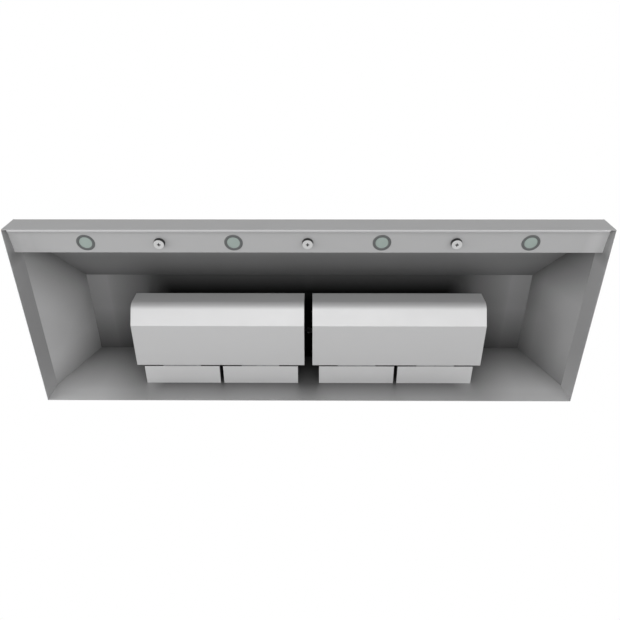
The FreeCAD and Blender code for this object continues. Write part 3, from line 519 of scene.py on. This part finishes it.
FINISH_BY_SLOT = {
    "hood_steel": panel_steel, "duct_steel": zinc_sheet, "wheel_steel": wheel_metal, "shaft_steel": shaft_metal,
    "plated_steel": plated_metal, "lamp_trim": trim_metal, "lamp_glass": frosted_glass,
    "spun_aluminium": spun_aluminium, "knob_metal": knob_face, "control_case": control_plastic,
    "motor_paint": motor_paint, "bushing_rubber": bushing_rubber}
FINISH_BY_NODE = {
    "lamp_rail": rail_steel, "front_slope": slope_steel, "roof_plate": roof_steel, "back_panel": back_steel,
    "side_panel_left": left_side_steel, "side_panel_right": right_side_steel,
    **{f"blower_cover_{side}": cover_steel for side in SIDES},
    **{f"riser_{place}_{side}": riser_steel for side in SIDES for place in ("outer", "inner")}}


def paint(thing, material):
    """Give a thing one finish all over."""
    thing.data.materials.clear()
    thing.data.materials.append(material)


def finish_nodes():
    """Give every carried-over solid its finish."""
    slots = {entry["node"]: entry["material_slot"] for entry in record["subparts"]}
    for name, thing in nodes.items():
        paint(thing, FINISH_BY_NODE.get(name) or FINISH_BY_SLOT[slots[name]])


finish_nodes()


# Turned and cut pieces

def lathe(profile, steps, ring=False, flutes=0, flute_depth=0.0):
    """Turn a profile of (radius, height) in millimetres about Z.

    A ring's profile closes on itself. A point with a third entry is dented by the flutes.
    """
    shape = bmesh.new()
    columns = []
    poles = {}
    for step in range(steps):
        angle = 2.0 * math.pi * step / steps
        dent = flute_depth * (0.5 - 0.5 * math.cos(flutes * angle))
        column = []
        for index, (radius, height, *fluted) in enumerate(profile):
            if radius == 0.0:
                if index not in poles:
                    poles[index] = shape.verts.new((0.0, 0.0, height * MM))
                column.append(poles[index])
            else:
                reach = (radius - (dent if fluted else 0.0)) * MM
                column.append(shape.verts.new((reach * math.cos(angle), reach * math.sin(angle), height * MM)))
        columns.append(column)
    count = len(profile)
    for step in range(steps):
        here, there = columns[step], columns[(step + 1) % steps]
        for index in range(count if ring else count - 1):
            after = (index + 1) % count
            corners = [here[index], there[index], there[after], here[after]]
            corners = [corner for place, corner in enumerate(corners) if corner not in corners[:place]]
            if len(corners) > 2:
                shape.faces.new(corners)
    bmesh.ops.recalc_face_normals(shape, faces=shape.faces)
    return shape


def cross_prism(length, width, low, high):
    """Two crossed bars as one closed prism, sizes in millimetres."""
    far, near = length / 2 * MM, width / 2 * MM
    rim = [(far, -near), (far, near), (near, near), (near, far), (-near, far), (-near, near),
           (-far, near), (-far, -near), (-near, -near), (-near, -far), (near, -far), (near, -near)]
    shape = bmesh.new()
    foot = [shape.verts.new((x, y, low * MM)) for x, y in rim]
    head = [shape.verts.new((x, y, high * MM)) for x, y in rim]
    shape.faces.new(list(reversed(foot)))
    shape.faces.new(head)
    for step in range(len(rim)):
        after = (step + 1) % len(rim)
        shape.faces.new((foot[step], foot[after], head[after], head[step]))
    bmesh.ops.recalc_face_normals(shape, faces=shape.faces)
    return shape


def show(name, data):
    """Put a mesh, a light or a camera into the scene."""
    thing = bpy.data.objects.new(name, data)
    scene.collection.objects.link(thing)
    return thing


def to_object(name, shape, material=None):
    mesh = bpy.data.meshes.new(name)
    shape.to_mesh(mesh)
    shape.free()
    if material:
        mesh.materials.append(material)
    return show(name, mesh)


def settle(thing):
    """Turn a thing's modifiers into plain mesh."""
    graph = bpy.context.evaluated_depsgraph_get()
    mesh = bpy.data.meshes.new_from_object(thing.evaluated_get(graph))
    thing.modifiers.clear()
    old = thing.data
    thing.data = mesh
    bpy.data.meshes.remove(old)


def carve(thing, cutter):
    """Cut one thing with another, which is used up."""
    cutting = thing.modifiers.new("carve", "BOOLEAN")
    cutting.operation = "DIFFERENCE"
    cutting.solver = "EXACT"
    cutting.object = cutter
    settle(thing)
    bpy.data.objects.remove(cutter)


def run_pattern(thing, pattern, material):
    """Run a pattern on a thing, keep the plain mesh and give it its finish."""
    thing.modifiers.new("pattern", "NODES").node_group = pattern
    settle(thing)
    paint(thing, material)


def smooth(thing, sharp=30.0):
    """Smooth shading, with folds over the given angle kept sharp."""
    thing.data.shade_smooth()
    thing.data.set_sharp_from_angle(angle=math.radians(sharp))
    return thing


def put(thing, seat):
    """Move a thing made about the origin to its seat, place and all in its mesh."""
    thing.data.transform(seat)


def fit(piece, body, node=None):
    """Let a piece ride on its body, and stand for a plain solid if one is named."""
    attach(piece, body)
    if node:
        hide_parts(node)


joints = {joint["name"]: joint for joint in record["behaviour"]["joints"]}
rail_up = Vector(joints["knob_middle_turn"]["axis"]).normalized()
rail_place = Vector(joints["knob_middle_turn"]["pos_m"])


def rail_seat(x):
    """A seat on the tilted rail: Z points up through the rail, and the rail's lower face is at 0."""
    right = Vector(RIGHT)
    turn = Matrix((right, rail_up.cross(right), rail_up)).transposed().to_4x4()
    return Matrix.Translation((x, rail_place.y, rail_place.z)) @ turn


# Knobs: a black fluted skirt with a satin cap let into it, and a cross recess in the cap. Sizes in millimetres.

KNOB_SKIRT = [(0.0, -8.2), (12.9, -8.2), (13.0, -8.9), (13.55, -8.8, "fluted"), (13.8, -8.3, "fluted"),
              (14.1, -4.6, "fluted"), (14.4, -1.6, "fluted"), (14.5, -0.8), (0.0, -0.8)]
KNOB_CAP = [(0.0, -9.75), (4.0, -9.8), (8.0, -9.86), (12.1, -10.0), (12.9, -9.9), (13.35, -9.4), (13.4, -9.0),
            (12.9, -8.3), (0.0, -8.3)]
KNOB_STEM = [(0.0, 13.9), (2.5, 13.9), (3.0, 13.4), (3.0, -1.5), (0.0, -1.5)]
KNOB_FLUTES, FLUTE_DEPTH = 24, 0.45
SKIRT_TURNS, CAP_TURNS, STEM_TURNS = 144, 96, 32
CROSS_LENGTH, CROSS_WIDTH, CROSS_LOW, CROSS_HIGH = 9.2, 3.0, -11.0, -8.6


def make_knob(side):
    seat = rail_seat(joints[f"knob_{side}_turn"]["pos_m"][0])
    knob = f"knob_{side}"
    fluted = lathe(KNOB_SKIRT, SKIRT_TURNS, flutes=KNOB_FLUTES, flute_depth=FLUTE_DEPTH)
    skirt = to_object(f"knob_skirt_{side}", fluted, knob_skirt)
    cap = to_object(f"knob_cap_{side}", lathe(KNOB_CAP, CAP_TURNS), knob_face)
    cap.data.materials.append(knob_skirt)
    cross = cross_prism(CROSS_LENGTH, CROSS_WIDTH, CROSS_LOW, CROSS_HIGH)
    carve(cap, to_object("knob_cutter", cross, knob_skirt))
    stem = to_object(f"knob_stem_{side}", lathe(KNOB_STEM, STEM_TURNS), shaft_metal)
    pieces = ((skirt, "control_case", knob), (cap, "knob_metal", None), (stem, "shaft_steel", None))
    for piece, slot, node in pieces:
        put(smooth(piece), seat)
        fit(piece, knob, node)


# Lamps: a rounded ring and a shallow ribbed lens in each. Sizes in millimetres.

LAMP_RING = [(16.5, 0.0), (16.5, -0.5), (16.8, -1.0), (17.5, -1.4), (18.6, -1.5), (21.8, -1.5), (22.8, -1.3),
             (23.45, -0.8), (23.75, -0.2), (23.75, 0.0)]
LENS_SEAT = [(16.35, 0.02), (18.4, 0.02), (18.5, 0.2), (18.5, 2.8), (18.3, 3.0), (0.0, 3.0)]
LENS_RADIUS, LENS_DROP, LENS_STEPS = 16.2, 0.75, 32
RIPPLE_HEIGHT, RIPPLE_PITCH = 0.10, 2.7
RING_TURNS, LENS_TURNS, LAMP_SHARP = 96, 72, 40.0


def lens_profile():
    """A shallow bowl with rings pressed into it, under a flat seat. The bowl's edge is plain."""
    bowl = []
    for step in range(LENS_STEPS + 1):
        radius = LENS_RADIUS * step / LENS_STEPS
        drop = LENS_DROP * (1.0 - (radius / LENS_RADIUS) ** 2)
        ripple = RIPPLE_HEIGHT * math.cos(radius * 2.0 * math.pi / RIPPLE_PITCH)
        bowl.append((radius, -drop - ripple * (step < LENS_STEPS)))
    return bowl + LENS_SEAT


def make_lamp(count):
    ring_low, ring_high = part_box(f"lamp_trim_{count}")
    seat = rail_seat((ring_low[0] + ring_high[0]) / 2)
    ring = to_object(f"lamp_ring_{count}", lathe(LAMP_RING, RING_TURNS, ring=True), trim_metal)
    lens = to_object(f"lamp_glass_{count}", lathe(lens_profile(), LENS_TURNS), frosted_glass)
    pieces = ((ring, "lamp_trim", f"lamp_trim_{count}"), (lens, "lamp_glass", f"lamp_lens_{count}"))
    for piece, slot, node in pieces:
        put(smooth(piece, LAMP_SHARP), seat)
        fit(piece, "hood", node)


# Screws, nuts and cooling slots, repeated from one pattern each

SCREW_HEAD = 0.0024
FASTENER_SHARP = 35.0
DOME_POWER, DOME_SHARE = 3.0, 0.34
STUD_PAST_NUT = 0.0003
SAME_PLACE, WELD = 0.000001, 0.00001


def new_pattern(name, inputs):
    """A tree that works on a geometry, with named sizes as its inputs."""
    tree = bpy.data.node_groups.new(name, "GeometryNodeTree")
    tree.interface.new_socket("Geometry", in_out="INPUT", socket_type="NodeSocketGeometry")
    for title, value in inputs.items():
        tree.interface.new_socket(title, in_out="INPUT", socket_type="NodeSocketFloat").default_value = value
    tree.interface.new_socket("Geometry", in_out="OUTPUT", socket_type="NodeSocketGeometry")
    given, out = tree.nodes.new("NodeGroupInput"), tree.nodes.new("NodeGroupOutput")
    return tree, given.outputs, out


def lift(tree, geometry, height):
    """Move a shape along Z."""
    return add(tree, "GeometryNodeTransform", Geometry=geometry, Translation=vector(tree, z=height)).outputs[0]


def round_bar(tree, vertices, segments, radius, length, height):
    """A round bar along Z, with its middle at a height."""
    bar = add(tree, "GeometryNodeMeshCylinder", Vertices=vertices, Side_Segments=segments, Radius=radius,
              Depth=length)
    return lift(tree, bar.outputs["Mesh"], height)


def block(tree, x, y, z):
    return add(tree, "GeometryNodeMeshCube", Size=vector(tree, x, y, z)).outputs["Mesh"]


def weld(tree, parts):
    """Several closed shapes as one."""
    node = add(tree, "GeometryNodeMeshBoolean", operation="UNION")
    for part in parts:
        fill(tree, node.inputs["Mesh 2"], part)
    return node.outputs[0]


def cut(tree, shape, cutters):
    """A closed shape with others cut out of it."""
    node = add(tree, "GeometryNodeMeshBoolean", operation="DIFFERENCE")
    fill(tree, node.inputs["Mesh 1"], shape)
    for cutter in cutters:
        fill(tree, node.inputs["Mesh 2"], cutter)
    return node.outputs[0]


def copies_on(tree, points, shape, axis, way):
    """A copy of a shape on every point, turned so that its axis follows a way."""
    turn = add(tree, "FunctionNodeAlignRotationToVector", axis=axis, Vector=way)
    copies = add(tree, "GeometryNodeInstanceOnPoints", Points=points, Instance=shape, Rotation=turn.outputs[0])
    return copies.outputs[0]


def make_real(tree, geometry):
    return add(tree, "GeometryNodeRealizeInstances", Geometry=geometry).outputs[0]


def close_pattern(tree, out, geometry, material):
    """Make every copy real, give the whole its finish and put it out."""
    finish = add(tree, "GeometryNodeSetMaterial", Geometry=make_real(tree, geometry), Material=material)
    feed(tree, out, Geometry=finish.outputs[0])


def spread_on_points(tree, size, out, shape, material):
    """Set the shape on every point, with its Z along the point's own way."""
    way = add(tree, "GeometryNodeInputNamedAttribute", data_type="FLOAT_VECTOR", Name="way")
    copies = copies_on(tree, size["Geometry"], shape, "Z", way.outputs["Attribute"])
    close_pattern(tree, out, copies, material)


def make_screw_pattern():
    """A pan-head screw with a domed head, a shank below it and a cross recess."""
    tree, size, out = new_pattern("pan_head_screws", {
        "Head Diameter": 0.008, "Head Height": SCREW_HEAD, "Shank Diameter": 0.004, "Shank Length": 0.004,
        "Recess Length": 0.0042, "Recess Width": 0.0010, "Recess Depth": 0.0013})
    head_height = size["Head Height"]
    middle = half(tree, head_height)
    head = round_bar(tree, 32, 8, half(tree, size["Head Diameter"]), head_height, middle)
    axes = split(tree, add(tree, "GeometryNodeInputPosition").outputs[0])
    rise = maths(tree, "POWER", maths(tree, "DIVIDE", axes["Z"], head_height), DOME_POWER)
    narrow = remains(tree, maths(tree, "MULTIPLY", rise, DOME_SHARE))
    drawn_in = [maths(tree, "MULTIPLY", axes[axis], narrow) for axis in "XY"]
    domed = add(tree, "GeometryNodeSetPosition", Geometry=head, Position=vector(tree, *drawn_in, axes["Z"]))
    reach = maths(tree, "ADD", size["Shank Length"], middle)
    shank = round_bar(tree, 20, 1, half(tree, size["Shank Diameter"]), reach,
                      maths(tree, "SUBTRACT", middle, half(tree, reach)))
    deep = maths(tree, "MULTIPLY", size["Recess Depth"], 2.0)
    length, width = size["Recess Length"], size["Recess Width"]
    bars = [lift(tree, block(tree, x, y, deep), head_height) for x, y in ((length, width), (width, length))]
    screw = cut(tree, weld(tree, (domed.outputs[0], shank)), bars)
    spread_on_points(tree, size, out, screw, plated_metal)
    return tree


def make_nut_pattern():
    """A round nut with a grooved rim on a plain stud. Z points out along the stud."""
    tree, size, out = new_pattern("grooved_nuts", {
        "Nut Diameter": 0.014, "Nut Thickness": 0.006, "Groove Depth": 0.0008, "Stud Diameter": 0.005,
        "Stud Length": 0.0077})
    radius = half(tree, size["Nut Diameter"])
    rim = add(tree, "GeometryNodeCurveStar", Points=24, Outer_Radius=radius,
              Inner_Radius=maths(tree, "SUBTRACT", radius, size["Groove Depth"]))
    disc = add(tree, "GeometryNodeFillCurve", mode="NGONS", Curve=rim.outputs["Curve"]).outputs[0]
    thick = add(tree, "GeometryNodeExtrudeMesh", Mesh=disc, Offset_Scale=size["Nut Thickness"], Individual=False)
    under = add(tree, "GeometryNodeFlipFaces", Mesh=disc)
    closed = add(tree, "GeometryNodeJoinGeometry")
    for part in (thick, under):
        fill(tree, closed.inputs[0], part.outputs[0])
    sealed = add(tree, "GeometryNodeMergeByDistance", Geometry=closed.outputs[0], Distance=WELD)
    nut = lift(tree, sealed.outputs[0], maths(tree, "SUBTRACT", 0.0, size["Nut Thickness"]))
    stud = round_bar(tree, 20, 1, half(tree, size["Stud Diameter"]), size["Stud Length"],
                     maths(tree, "SUBTRACT", STUD_PAST_NUT, half(tree, size["Stud Length"])))
    spread_on_points(tree, size, out, weld(tree, (nut, stud)), nut_painted_shade)
    return tree


def make_vent_pattern():
    """A ring of cooling slots cut into a round case near each of its ends. The case stands along Z."""
    tree, size, out = new_pattern("vented_case", {
        "Case Radius": 0.0442, "Slot Length": 0.010, "Slot Width": 0.0045, "Slot Depth": 0.003,
        "Slot Offset": 0.037})
    slot = block(tree, maths(tree, "MULTIPLY", size["Slot Depth"], 2.0), size["Slot Width"], size["Slot Length"])
    ring = add(tree, "GeometryNodeMeshCircle", Vertices=20, Radius=size["Case Radius"])
    outward = add(tree, "GeometryNodeInputPosition").outputs[0]
    slots = make_real(tree, copies_on(tree, ring.outputs["Mesh"], slot, "X", outward))
    rings = [lift(tree, slots, maths(tree, "MULTIPLY", size["Slot Offset"], end)) for end in (-1.0, 1.0)]
    close_pattern(tree, out, cut(tree, size["Geometry"], rings), motor_paint)
    return tree


def repeat(name, pattern, places, ways, material):
    """Run a pattern on a set of places, each with the way that it points, and keep the plain mesh."""
    mesh = bpy.data.meshes.new(name)
    mesh.from_pydata(places, [], [])
    way = mesh.attributes.new("way", "FLOAT_VECTOR", "POINT")
    way.data.foreach_set("vector", [value for one in ways for value in one])
    thing = show(name, mesh)
    run_pattern(thing, pattern, material)
    return smooth(thing, FASTENER_SHARP)


def islands(node):
    """The boxes of a node's separate solids, in order of their low corners."""
    shape = bmesh.new()
    shape.from_mesh(nodes[node].data)
    bmesh.ops.remove_doubles(shape, verts=shape.verts, dist=SAME_PLACE)
    left = set(shape.verts)
    found = []
    while left:
        heap = [left.pop()]
        corners = []
        while heap:
            corner = heap.pop()
            corners.append(corner.co.copy())
            for edge in corner.link_edges:
                other = edge.other_vert(corner)
                if other in left:
                    left.remove(other)
                    heap.append(other)
        found.append([Vector(pick(axis) for axis in zip(*corners)) for pick in (min, max)])
    shape.free()
    return sorted(found, key=lambda box: tuple(box[0]))


def make_roof_screws():
    places = [((low.x + high.x) / 2, (low.y + high.y) / 2, high.z - SCREW_HEAD)
              for low, high in islands("roof_screws")]
    screws = repeat("roof_screw_set", make_screw_pattern(), places, [UP] * len(places), plated_metal)
    fit(screws, "hood", "roof_screws")


def make_cover_nuts():
    pattern = make_nut_pattern()
    for side in SIDES:
        middle = sum(corner[0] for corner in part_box(f"plenum_{side}")) / 2
        places, ways = [], []
        for low, high in islands(f"cover_nuts_{side}"):
            at_right = low.x > middle
            places.append((high.x if at_right else low.x, (low.y + high.y) / 2, (low.z + high.z) / 2))
            ways.append(RIGHT if at_right else LEFT)
        nuts = repeat(f"cover_nut_set_{side}", pattern, places, ways, nut_painted_shade)
        fit(nuts, "hood", f"cover_nuts_{side}")


# Motors: a case with domed ends, cooling slots and a stack of plates round its middle. Sizes in millimetres.

MOTOR_END = [(4.2, 56.0), (15.5, 56.0), (18.6, 55.2), (19.8, 53.6), (19.8, 50.6), (25.0, 50.2), (36.0, 49.2),
             (40.5, 47.6), (43.2, 45.2), (44.2, 42.6), (44.2, 30.2), (44.8, 29.6), (44.8, 26.6)]
PLATE_TOP, PLATE_PITCH, PLATE_COUNT = 26.0, 3.4, 8
PLATE_EDGE = [(44.0, 0.0), (44.0, 0.9), (44.8, 1.4), (44.8, 2.6)]
MIDDLE_ROOM = 0.2
MOTOR_TURNS, MOTOR_SHARP = 96, 28.0


def motor_profile():
    """Half of the case from its bore outwards, mirrored into a closed ring."""
    end = list(MOTOR_END)
    for step in range(PLATE_COUNT):
        top = PLATE_TOP - PLATE_PITCH * step
        end += [(radius, top - drop) for radius, drop in PLATE_EDGE if top - drop > MIDDLE_ROOM]
    return end + [(radius, -height) for radius, height in reversed(end)]


def make_motors():
    pattern = make_vent_pattern()
    lying = Matrix.Rotation(math.radians(90.0), 4, "Y")
    for side in SIDES:
        middle = middle_and_half(*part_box(f"motor_{side}"))[0]
        case = to_object(f"motor_case_{side}", lathe(motor_profile(), MOTOR_TURNS, ring=True))
        run_pattern(case, pattern, motor_paint)
        put(smooth(case, MOTOR_SHARP), Matrix.Translation(middle) @ lying)
        fit(case, "hood", f"motor_{side}")


for side in ("left", "middle", "right"):
    make_knob(side)
for count in (1, 2, 3, 4):
    make_lamp(count)
make_roof_screws()
make_cover_nuts()
make_motors()


# Camera, light and floor

CAMERA_PLACE = Vector((0.0174, -1.0973, -1.6850))
LOOK_UP, LOOK_SIDE, ROLL = math.radians(60.15), math.radians(-0.84), math.radians(0.81)
FOCAL_PIXELS, IMAGE_PIXELS, SENSOR = 597.6, 620, 36.0
FAR_CLIP = 50.0
WHITE = (1.0, 1.0, 1.0, 1.0)
DULL_FILL = 0.08
FLOOR_HALF, FLOOR_LEVEL = 8.0, -2.3
FLOOR_DARK, FLOOR_LIGHT = grey(0.53), grey(0.57)
FLOOR_SEEN, FLOOR_GLOW = grey(0.8), 0.58
HOOD_MIDDLE = (0.0, -0.25, -0.2)
# Each soft light has its name, its place, what it points at, its width, its depth and the glow of its face.
SOFT_LIGHTS = (
    ("front_panel", (0.0, -1.35, -1.95), HOOD_MIDDLE, 2.6, 0.8, 3.61),
    ("low_front_panel", (0.0, -2.3, -1.3), HOOD_MIDDLE, 2.4, 1.0, 0.6),
    ("left_panel", (-2.2, -0.6, -0.95), HOOD_MIDDLE, 1.0, 1.0, 5.03),
    ("right_panel", (2.2, -0.6, -0.95), HOOD_MIDDLE, 1.0, 1.0, 1.0),
    ("left_low_panel", (-1.7, -0.8, -1.6), HOOD_MIDDLE, 1.0, 1.0, 1.7),
    ("right_low_panel", (1.7, -0.8, -1.6), HOOD_MIDDLE, 1.0, 1.0, 2.68),
    ("ceiling_panel", (0.0, 2.0, 2.4), (0.0, 2.0, 0.0), 7.0, 5.0, 1.15),
    ("rear_panel", (0.0, 3.0, 0.3), HOOD_MIDDLE, 2.4, 1.6, 1.6))


def make_camera():
    ahead = Vector((math.sin(LOOK_SIDE) * math.cos(LOOK_UP), math.cos(LOOK_SIDE) * math.cos(LOOK_UP),
                    math.sin(LOOK_UP)))
    right = Vector((math.cos(LOOK_SIDE), -math.sin(LOOK_SIDE), 0.0))
    up = right.cross(ahead)
    turned_right = right * math.cos(ROLL) + up * math.sin(ROLL)
    turned_up = up * math.cos(ROLL) - right * math.sin(ROLL)
    data = bpy.data.cameras.new("camera")
    data.sensor_width = SENSOR
    data.lens = FOCAL_PIXELS / IMAGE_PIXELS * SENSOR
    data.clip_end = FAR_CLIP
    camera = show("camera", data)
    turn = Matrix((turned_right, turned_up, -ahead)).transposed().to_4x4()
    camera.matrix_world = Matrix.Translation(CAMERA_PLACE) @ turn
    scene.camera = camera


def make_soft_light(name, place, aim, width, depth, glow):
    """A flat soft light whose face shines with the given brightness."""
    data = bpy.data.lights.new(name, "AREA")
    data.shape = "RECTANGLE"
    data.size = width
    data.size_y = depth
    data.energy = glow * math.pi * width * depth
    light = show(name, data)
    light.visible_camera = False
    place = Vector(place)
    turn = (Vector(aim) - place).to_track_quat("-Z", "Y").to_matrix().to_4x4()
    light.matrix_world = Matrix.Translation(place) @ turn


def seen_directly(tree):
    """1 for what the eye sees straight on, in metal or through glass, and 0 for light on dull surfaces."""
    path = add(tree, "ShaderNodeLightPath").outputs
    seen = maths(tree, "MAXIMUM", path["Is Camera Ray"], path["Is Glossy Ray"])
    return maths(tree, "MAXIMUM", seen, path["Is Transmission Ray"])


def make_world():
    """White to the eye and in reflections, and a softer fill on dull surfaces."""
    world = bpy.data.worlds.new("white_room")
    scene.world = world
    world.use_nodes = True
    tree = world.node_tree
    strength = maths(tree, "MULTIPLY_ADD", seen_directly(tree), 1.0 - DULL_FILL, DULL_FILL)
    feed(tree, tree.nodes["Background"], Color=WHITE, Strength=strength)


def make_floor():
    mesh = bpy.data.meshes.new("floor")
    corners = [(x * FLOOR_HALF, y * FLOOR_HALF, FLOOR_LEVEL) for x, y in ((-1, -1), (1, -1), (1, 1), (-1, 1))]
    mesh.from_pydata(corners, [], [(0, 1, 2, 3)])
    floor = show("floor", mesh)
    material, tree, shader = new_finish("pale_floor", 0.8, 0.0, Emission_Color=FLOOR_SEEN)
    mottle = noise(tree, on_object(tree), scale=3.0, detail=3.0)
    feed(tree, shader, Base_Color=blend_colour(tree, mottle, FLOOR_DARK, FLOOR_LIGHT),
         Emission_Strength=maths(tree, "MULTIPLY", seen_directly(tree), FLOOR_GLOW))
    mesh.materials.append(material)


make_camera()
for soft_light in SOFT_LIGHTS:
    make_soft_light(*soft_light)
make_world()
make_floor()
scene.view_settings.view_transform = "Standard"
